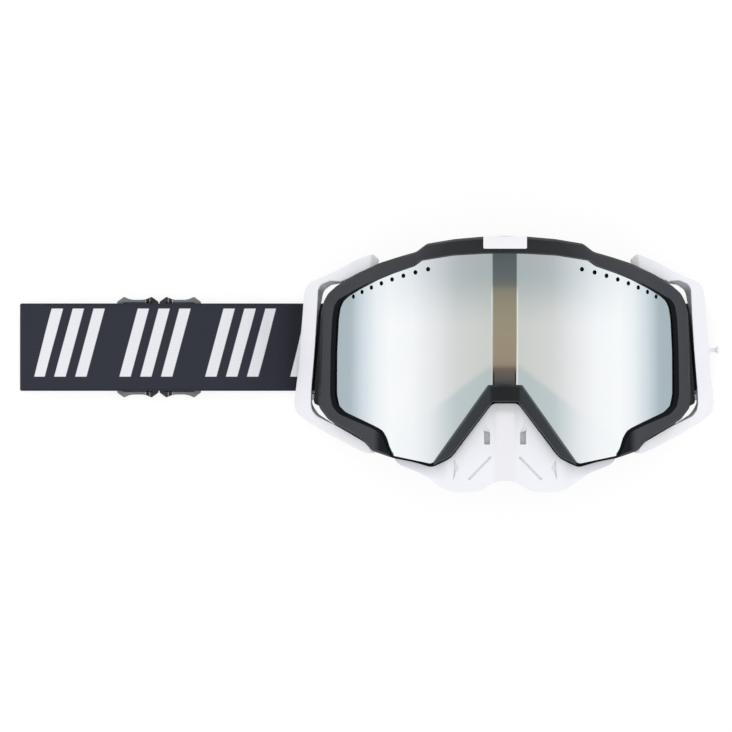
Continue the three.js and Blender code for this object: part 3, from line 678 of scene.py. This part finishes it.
def make_badge():
    outline = [(-BADGE_X, BADGE_LOW), (BADGE_X, BADGE_LOW), (BADGE_X, BADGE_HIGH), (-BADGE_X, BADGE_HIGH)]
    outline = divided(rounded(outline, 0.7, True), 2.0, True)
    back = BEZEL_PROUD + 0.1
    badge = plate("brow_badge_plate", outline, lambda x, y: sheet_z(x, back + BADGE_T),
                  lambda x, y: sheet_z(x, back), WHITE, 1.0)
    shaded(bevelled(badge, 0.3, 50, 3))
    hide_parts("brow_badge")
    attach(badge, "lens_cassette")


# ---------------------------------------------------------------- frame and foam
def back_station(s):
    """The rear of the frame has the outline of its front, a little smaller."""
    return (s[0] * BACK_X, s[1] * BACK_Y, s[2] * BACK_X, s[3] * BACK_Y)


FOAM_TOP = FOAM_BASE_T + FOAM_MIDDLE_T + FOAM_FLEECE_T + 2 * FOAM_GAP


def frame_section(station):
    """A wall from the lens to the foam, with a flange inwards at both ends."""
    rear = back_station(station)
    inner_front, inner_back = station[2:], inset(rear, BACK_FLANGE_W, 2)
    wall_front, wall_back = inset(station, FRAME_WALL), inset(rear, FRAME_WALL, 2)
    outer_back = inset(rear, 0)
    top = FOAM_TOP + FOAM_GAP
    front = [(station[:2], FRAME_FRONT), (inner_front, FRAME_FRONT),
             (inner_front, FRAME_FRONT - FRAME_FLANGE), (wall_front, FRAME_FRONT - FRAME_FLANGE)]
    behind = [(wall_back, top + BACK_FLANGE_T), (inner_back, top + BACK_FLANGE_T),
              (inner_back, top), (outer_back, top)]
    return ([(x, y, sheet_z(x, t)) for (x, y), t in front]
            + [(x, y, face_z(x, above)) for (x, y), above in behind])


def frame_stations():
    return divided(rounded(mirrored(FRAME_HALF), 2.2, True, 4), 2.5, True)


def make_frame():
    body = loft("goggle_frame_shell", [frame_section(s) for s in frame_stations()], RUBBER, True)
    bevelled(body, 0.5, 35, 2)
    peg_play, reach = 0.3, 4
    for sign in (-1, 1):
        for y0, y1 in FRAME_HOLES:
            cut(body, rod_y("hole", sign * PIVOT_X, PIVOT_Z, PIN_HOLE_R, y0, y1, RUBBER))
        for x, y in PEGS:
            z = sheet_z(x, FRAME_FRONT)
            cut(body, rod_z("hole", sign * x, y, PEG_R + peg_play, z - reach, z + reach, RUBBER, 20))
    shaded(body)
    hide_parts("frame")
    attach(body, "goggle_frame")


def foam_ring(name, node_name, low, high, outer_inset, width, edge, material):
    """One layer of face foam: a ring whose edges are soft and whose sides bulge a little."""
    middle, outer_bulge, inner_bulge, no_limit = (low + high) / 2, -0.25, 0.45, 9
    sections = []
    for s in frame_stations():
        rear = back_station(s)
        outer, inner = inset(rear, outer_inset, no_limit), inset(rear, outer_inset + width, no_limit)
        outer_middle = inset(rear, outer_inset + outer_bulge, no_limit)
        inner_middle = inset(rear, outer_inset + width + inner_bulge, no_limit)
        profile = [(outer, low), (outer_middle, middle), (outer, high),
                   (inner, high), (inner_middle, middle), (inner, low)]
        sections.append([(x, y, face_z(x, above)) for (x, y), above in profile])
    ring = loft(name, sections, material, True)
    shaded(bevelled(ring, edge, 40, 4), 50)
    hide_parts(node_name)
    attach(ring, "goggle_frame")


def make_foam():
    """Three layers, each a little narrower than the one nearer the face, and swollen into the gap between."""
    below, swell = 0.1, 0.3
    middle_low = FOAM_FLEECE_T + FOAM_GAP
    base_low = middle_low + FOAM_MIDDLE_T + FOAM_GAP
    foam_ring("foam_layer_fleece", "foam_fleece", 0, FOAM_FLEECE_T + swell,
              0.4, FOAM_W - 0.2, 1.0, FLEECE)
    foam_ring("foam_layer_middle", "foam_middle", middle_low - below, middle_low + FOAM_MIDDLE_T + swell,
              0.9, FOAM_W - 1.2, 1.2, GREY_FOAM)
    foam_ring("foam_layer_base", "foam_base", base_low - below, base_low + FOAM_BASE_T + swell,
              1.4, FOAM_W - 2.2, 1.2, DARK_FOAM)


# ---------------------------------------------------------------- nose guard
def guard_front(x, y):
    """The guard's face: a keel down the middle, and a lip that turns forward at the bottom."""
    keel_h, lip_h = 1.25, 0.5
    keel = keel_h * (1 - smooth(3.6, 6.4, abs(x))) * smooth(-27, -31, y)
    wing = -lip_h * smooth(14, 30, abs(x))
    return sheet_z(x, GUARD_FRONT) + keel + wing * smooth(-50, -58, y)


def make_guard():
    outline = divided(rounded(mirrored(GUARD_HALF), 2.0, True, 6), 1.5, True)
    guard = plate("nose_guard_shell", outline, guard_front, lambda x, y: sheet_z(x, GUARD_BACK),
                  GUARD, 1.2, 1.6)
    bevelled(guard, 0.45, 50, 3)
    # Each recess has an outline, a depth that can change along y, and a grey material of painted shade
    lead_in = [(9.9, -34), (9.3, -34.2), (7.1, -39), (9.9, -39)]
    groove = [(6.8, -50.0), (7.6, -50.8), (17.0, -60.4), (16.3, -61.1), (15.7, -60.7), (6.3, -50.9)]
    triangle = [(21.1, -55.2), (22.6, -53.4), (23.3, -51.9), (23.7, -60.9), (22.7, -57.8)]
    recesses = (
        (lead_in, lambda y: 0.9 * smooth(-34, -39, y), RECESS_SHADE),
        (rounded(POCKET, 0.4, True, 3), lambda y: 2.2, POCKET_SHADE),
        (groove, lambda y: 0.75, RECESS_SHADE),
        (triangle, lambda y: 0.8, RECESS_SHADE),
    )
    for sign in (-1, 1):
        behind = [(sign * x, y) for x, y in POCKET_BACK]
        joined(guard, plate("behind", behind, lambda x, y: sheet_z(x, -2),
                            lambda x, y: sheet_z(x, POCKET_BACK_T), GUARD))
        for points, depth, material in recesses:
            recess = [(sign * x, y) for x, y in points]
            cut(guard, plate("recess", recess, lambda x, y: sheet_z(x, 6),
                             lambda x, y, d=depth: guard_front(x, y) - d(y), material, 1.0, 1.0))
        for x, y in PEGS:
            z = sheet_z(x, FRAME_FRONT)
            joined(guard, rod_z("peg", sign * x, y, PEG_R, z - 2.4, z + 0.8, GUARD, 20))
    shaded(guard, 40)
    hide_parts("nose_guard")
    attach(guard, "nose_guard")


# ---------------------------------------------------------------- outriggers
def make_outrigger(side, sign):
    sections = []
    for ox, oy, ix, iy, fx, fy in divided(rounded(ARM, 1.8), 1.6):
        # The arm swells round the pivot pins
        outer, inner = (ARM_H / 2 + SWELL_H * max(0, 1 - ((x - PIVOT_X) / SWELL_REACH) ** 2)
                        for x in (ox, ix))
        sections.append([(sign * ox, oy, arm_z(ox) + outer), (sign * ix, iy, arm_z(ix) + inner),
                         (sign * fx, fy, arm_z(ix) - inner), (sign * ox, oy, arm_z(ox) - outer)])
    arm = loft(f"outrigger_shell_{side}", sections, WHITE)
    inner_wall = 1
    # Painted shade and reflection: the inner wall is grey at the corners beside the bezel
    sides_in(arm, 4, (inner_wall,), SHADED, lambda x, y: abs(x) > 76)
    bevelled(arm, 0.5, 35, 3)
    # A loop bar for the strap, between two cheeks
    low, high = sorted((sign * (BAR_X - 1.8), sign * (BAR_X + 2.4)))
    extra = [bevelled(box("cheek", low, high, y0, y1, BAR_Z - 1.8, CHEEK_TOP, WHITE), 0.5, 40, 2)
             for y0, y1 in ((CHEEK_LOW, CHEEK_HIGH), (-CHEEK_HIGH, -CHEEK_LOW))]
    extra.append(rod_y("bar", sign * BAR_X, BAR_Z, BAR_R, -BAR_END, BAR_END, WHITE))
    joined(arm, *extra)
    cut(arm, *(rod_y("hole", sign * PIVOT_X, PIVOT_Z, PIN_HOLE_R, y0, y1, WHITE)
               for y0, y1 in ARM_HOLES))
    shaded(arm)
    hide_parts(f"outrigger_{side}")
    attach(arm, f"outrigger_{side}")


def make_post():
    """The tear-off post: a turned mushroom on a small foot."""
    y0, z0 = -1.4, arm_z(94.5)
    # Places along the post, and its radius there
    turned = [(94.75, 1.5), (95.1, 1.5), (95.5, 1.05), (96.2, 0.95), (97.5, 0.95), (97.8, 1.3),
              (98.0, 1.7), (98.3, 1.8), (98.9, 1.65), (99.2, 1.1), (99.3, 0.4)]
    sections = [[(x, y, z) for y, z in circle(y0, z0, r, 28)] for x, r in turned]
    post = shaded(loft("tear_off_mushroom", sections, WHITE), 60)
    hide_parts("tear_off_post")
    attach(post, "outrigger_left")


# ---------------------------------------------------------------- strap
def ribbon(name, path, start, material):
    """A flat strap along a path in x and z, with rounded edges.
    It keeps its place along and across the strap, and which face is outside, for its weave and print."""
    half_w, half_t = STRAP_W / 2, STRAP_T / 2
    flat, side = half_w - 0.5, 0.35
    across = [(-half_w, -side), (-flat, -1), (flat, -1), (half_w, -side),
              (half_w, side), (flat, 1), (-flat, 1), (-half_w, side)]
    sections, along, where, outside = [], [], [], []
    distance = start
    for i, (x, z) in enumerate(path):
        ax, az = path[max(0, i - 1)]
        bx, bz = path[min(len(path) - 1, i + 1)]
        length = math.dist((ax, az), (bx, bz))
        nx, nz = -(bz - az) / length, (bx - ax) / length
        if i:
            distance += math.dist((x, z), path[i - 1])
        sections.append([(x + nx * half_t * s, y, z + nz * half_t * s) for y, s in across])
        along += [distance] * len(across)
        where += [y for y, _ in across]
        outside += [1.0 if s < 0 else 0.0 for _, s in across]
    band = loft(name, sections, material)
    for key, values in (("strap_along", along), ("strap_across", where), ("strap_outer", outside)):
        band.data.attributes.new(key, "FLOAT", "POINT").data.foreach_set("value", values)
    shaded(band, 45)
    return band, distance


def arc(x, z, r, start, end, steps=14):
    return [(x + r * math.cos(math.radians(start + (end - start) * k / steps)),
             z + r * math.sin(math.radians(start + (end - start) * k / steps))) for k in range(steps + 1)]


# The middle of the strap: its height where it lies flat, its radius round a loop bar, and its height
# where it leaves that bar underneath
LOW = STRAP_T / 2
WRAP_R = BAR_R + 0.4 + LOW
TAIL_Z = BAR_Z - WRAP_R
JOIN_RIGHT, JOIN_LEFT = -128, 74
# The two layers where they run through the sliders
OVER_Z, UNDER_Z = 7.8, 3.3


def strap_paths():
    """Three stretches that meet, seen from above the brow as points in x and z:
    round the right loop bar, out over the sliders and back, and round the left loop bar."""
    right = [(-104, 2.6), (-94.5, 2.6), (-91.4, 3.4)] + arc(-BAR_X, BAR_Z, WRAP_R, -80, 200)
    right += [(-94, 4.9), (-96.5, TAIL_Z), (-103, TAIL_Z), (-108, 5.2), (-112, 6.6), (-118, 7.65),
              (-122, OVER_Z), (JOIN_RIGHT, OVER_Z)]
    fold = arc(FOLD_X + FOLD_R + LOW, LOW + FOLD_R, FOLD_R, 90, 270, 12)
    middle = [(JOIN_RIGHT, OVER_Z), (-203, OVER_Z), (-209, 7.1), (-214, 5.2), (-218, 3.7)] + fold
    middle += [(-217, LOW), (-211, 2.1), (-205, UNDER_Z), (-120, UNDER_Z), (-114, 2.1), (-108, LOW),
               (JOIN_LEFT, LOW)]
    left = [(JOIN_LEFT, LOW), (83.6, LOW), (85.4, 1.5)] + arc(BAR_X, BAR_Z, WRAP_R, -55, 195)
    left += [(86.1, 5.2), (85.3, 4.1), (84.2, 3.3)]
    return right, middle, left


def softened(path, radius, step):
    return divided(rounded(path, radius, False, 4), step)


def make_strap():
    right, middle, left = strap_paths()
    right = softened(right, 1.6, 1.5)
    middle = softened(middle, 2.2, 4)
    left = softened(left, 1.2, 1.5)
    # The weave and the print run on from one stretch to the next
    end_right, at = ribbon("strap_end_right", right, 0, STRAP)
    body, at = ribbon("strap_body", middle, at, STRAP)
    end_left, _ = ribbon("strap_end_left", left, at, STRAP)
    for piece, nodes in ((end_right, "strap_loop_right"), (body, "strap"), (end_left, "strap_loop_left")):
        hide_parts(nodes)
    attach(body, "goggle_frame")
    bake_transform(end_right)
    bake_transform(end_left)


# ---------------------------------------------------------------- sliders
def make_slider(name, node_name, centre):
    """Two end plates with horns and a dip, bars across them over and under the strap, and two ledges
    that its edges rest on."""
    half, inside = SLIDER_L / 2, STRAP_W / 2 + 0.5
    bar_end = inside + 0.5
    horn = [(half - 0.2, 21.1), (half, inside)]
    dip = [(2.2, 21.9), (4.2, 22.3), (5.9, 23.1), (6.5, 23.2)]
    top = dip + horn
    outline = [(-x, y) for x, y in reversed(top)] + top
    parts = []
    for sign in (-1, 1):
        cheek = [(centre + x, sign * y) for x, y in rounded(outline, 0.3, True, 3)]
        parts.append(bevelled(prism("cheek", cheek, 0, SLIDER_H, SMOKE), 0.3, 50, 2))
    for x0, x1, z0, z1 in (
        (-half, -half + SLIDER_BAR_W, SLIDER_BAR_LOW, SLIDER_H),
        (half - SLIDER_BAR_W, half, SLIDER_BAR_LOW, SLIDER_H), (-2, 2, 0, 2.2),
    ):
        bar = box("bar", centre + x0, centre + x1, -bar_end, bar_end, z0, z1, SMOKE)
        parts.append(bevelled(bar, 0.45, 50, 3))
    for y0, y1 in ((-bar_end, -LEDGE_Y), (LEDGE_Y, bar_end)):
        ledge = box("ledge", centre - half + 1, centre + half - 1, y0, y1, 0, LEDGE_H, SMOKE)
        parts.append(bevelled(ledge, 0.3, 50, 2))
    slider = parts[0]
    slider.name = name
    shaded(joined(slider, *parts[1:]))
    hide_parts(node_name)
    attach(slider, node_name)


# ---------------------------------------------------------------- studio
def make_floor():
    """A pale table that glows evenly, so that only a trace of shadow is left on it."""
    paint = moulded("floor_paint", (0.24, 0.24, 0.24), (0.25, 0.25, 0.25), 0.9, 900, 0.00001, 0.1)
    shader = paint.node_tree.nodes["Principled BSDF"]
    shader.inputs["Emission Color"].default_value = (1, 1, 1, 1)
    shader.inputs["Emission Strength"].default_value = 0.8
    reach = 3000
    floor = box("studio_floor", -reach, reach, -reach, reach, -4, -0.3, paint)
    floor.visible_glossy = False


def colour_ramp(tree, factor, stops):
    ramp = node(tree, "ShaderNodeValToRGB", {"Fac": factor})
    elements = ramp.color_ramp.elements
    while len(elements) < len(stops):
        elements.new(1.0)
    for element, (place, colour) in zip(elements, stops):
        element.position = place
        element.color = (*colour, 1)
    return ramp.outputs["Color"]


def make_reflector():
    """A round tent over the goggles that only mirrors see: pale cloth that is brightest to the left and
    right and falls off low down, with a narrow dark gap along the middle, where a camera would stand."""
    radius, half_length, steps, reach = 500, 2600, 96, 128
    points = []
    for k in range(steps + 1):
        angle = math.radians(-reach + 2 * reach * k / steps)
        points += [(radius * math.sin(angle), y, radius * math.cos(angle))
                   for y in (-half_length, half_length)]
    faces = [(2 * k, 2 * k + 1, 2 * k + 3, 2 * k + 2) for k in range(steps)]
    material = bpy.data.materials.new("reflector_cloth")
    material.use_nodes = True
    tree = material.node_tree
    tree.nodes.clear()
    place = node(tree, "ShaderNodeTexCoord").outputs["Object"]
    axes = node(tree, "ShaderNodeSeparateXYZ", {0: place}).outputs
    side = maths(tree, "ABSOLUTE", maths(tree, "ARCTAN2", axes["X"], axes["Z"]))
    # Where on the lens this part of the tent is mirrored, in metres from its middle
    lens_x = maths(tree, "MULTIPLY", maths(tree, "SINE", maths(tree, "MULTIPLY", side, 0.5)), LENS_R * MM)
    cloth = colour_ramp(tree, maths(tree, "DIVIDE", side, math.radians(reach)), [
        (angle / reach, colour) for angle, colour in (
            (0, (0.61, 0.62, 0.59)), (14, (0.63, 0.645, 0.62)), (26, (0.68, 0.685, 0.675)),
            (38, (0.81, 0.82, 0.83)), (52, (0.94, 0.955, 0.97)), (66, (0.97, 0.985, 0.99)),
            (76, (0.87, 0.91, 0.94)), (88, (0.62, 0.70, 0.74)), (100, (0.35, 0.42, 0.46)),
            (104, (0.34, 0.41, 0.45)), (reach, (0.10, 0.13, 0.15)))])
    # Duller and bluer towards the brow, and low down beside the nose
    brow = maths(tree, "MULTIPLY",
                 node(tree, "ShaderNodeMapRange", {"Value": axes["Y"], "From Min": 0.008, "From Max": 0.037},
                      interpolation_type="SMOOTHSTEP").outputs["Result"],
                 spread(tree, lens_x, 1, 0.15, 0.018, 0.055))
    nose_line = maths(tree, "ADD", maths(tree, "MULTIPLY", lens_x, -0.85), -0.0032)
    under = maths(tree, "SUBTRACT", nose_line, axes["Y"])
    nose = maths(tree, "MULTIPLY", spread(tree, under, 0, 1, -0.001, 0.0015),
                 spread(tree, lens_x, 1, 0.1, 0.022, 0.033))
    for amount, tone in ((brow, (0.67, 0.735, 0.77)), (nose, (0.78, 0.865, 0.90))):
        dull = node(tree, "ShaderNodeMix", data_type="RGBA", blend_type="MULTIPLY")
        tree.links.new(amount, dull.inputs[0])
        tree.links.new(cloth, dull.inputs[6])
        dull.inputs[7].default_value = (*tone, 1)
        cloth = dull.outputs[2]
    # The gap: its tones from the nose up to the brow, dark edges low down, and a pale fringe at the brow
    low, high = -0.020, 0.045
    gap = colour_ramp(tree, spread(tree, axes["Y"], 0, 1, low, high), [
        ((0.001 * y - low) / (high - low), colour) for y, colour in (
            (-17, (0.055, 0.055, 0.055)), (-15.5, (0.095, 0.092, 0.088)), (-12.5, (0.13, 0.107, 0.10)),
            (-9.6, (0.155, 0.12, 0.097)), (-8.6, (0.30, 0.245, 0.19)), (-6, (0.33, 0.265, 0.19)),
            (6, (0.335, 0.285, 0.205)), (13, (0.32, 0.285, 0.20)), (21, (0.285, 0.26, 0.185)),
            (27.6, (0.235, 0.23, 0.168)), (29.6, (0.155, 0.16, 0.148)), (34, (0.12, 0.14, 0.14)),
            (39, (0.105, 0.134, 0.138)), (43, (0.10, 0.115, 0.12)))])
    jamb = maths(tree, "MULTIPLY", spread(tree, lens_x, 0, 1, 0.0042, 0.0045),
                 spread(tree, axes["Y"], 1, 0, -0.0125, -0.0098))
    gap = mix_colour(tree, jamb, gap, (0.028, 0.018, 0.014, 1))
    fringe = maths(tree, "MULTIPLY", spread(tree, lens_x, 1, 0, 0.0055, 0.0057),
                   spread(tree, axes["Y"], 1, 0, 0.024, 0.030))
    cloth = mix_colour(tree, fringe, cloth, (0.80, 0.82, 0.79, 1))
    middle = spread(tree, lens_x, 1, 0, 0.0050, 0.00525)
    glow = node(tree, "ShaderNodeEmission", {"Color": mix_colour(tree, middle, cloth, gap), "Strength": 1.0})
    out = node(tree, "ShaderNodeOutputMaterial")
    tree.links.new(glow.outputs[0], out.inputs["Surface"])
    tent = make_object("studio_reflector", points, faces, material)
    tent.visible_camera = tent.visible_diffuse = tent.visible_shadow = tent.visible_transmission = False


def make_light():
    """Soft light from all round, a little brighter towards the horizon than overhead."""
    scene = bpy.context.scene
    scene.view_settings.view_transform = "Standard"
    world = bpy.data.worlds.new("studio")
    world.use_nodes = True
    scene.world = world
    tree = world.node_tree
    sky = tree.nodes["Background"]
    direction = node(tree, "ShaderNodeTexCoord").outputs["Generated"]
    up = node(tree, "ShaderNodeSeparateXYZ", {0: direction}).outputs["Z"]
    strength = node(tree, "ShaderNodeMapRange", {
        "Value": maths(tree, "ABSOLUTE", up), "From Min": 1, "From Max": 0, "To Min": 1.0, "To Max": 1.3})
    tree.links.new(strength.outputs["Result"], sky.inputs["Strength"])
    sky.inputs["Color"].default_value = (1, 1, 1, 1)


make_bezel()
make_bridge()
make_lens()
make_badge()
make_frame()
make_foam()
make_guard()
for side, sign in (("right", -1), ("left", 1)):
    make_outrigger(side, sign)
make_post()
make_strap()
make_slider("slider_shell_outer", "slider_outer", SLIDER_X[0])
make_slider("slider_shell_inner", "slider_inner", SLIDER_X[1])

# CAD nodes whose shape is final get a finished surface
for names, material in (
    (("lens_gasket",), SEAL),
    (("vent_foam_right", "vent_foam_left"), DARK_FOAM),
    (("upper_pin_right", "lower_pin_right", "upper_pin_left", "lower_pin_left"), STEEL),
):
    for name in names:
        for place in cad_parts[name].material_slots:
            place.material = material

make_floor()
make_reflector()
make_light()
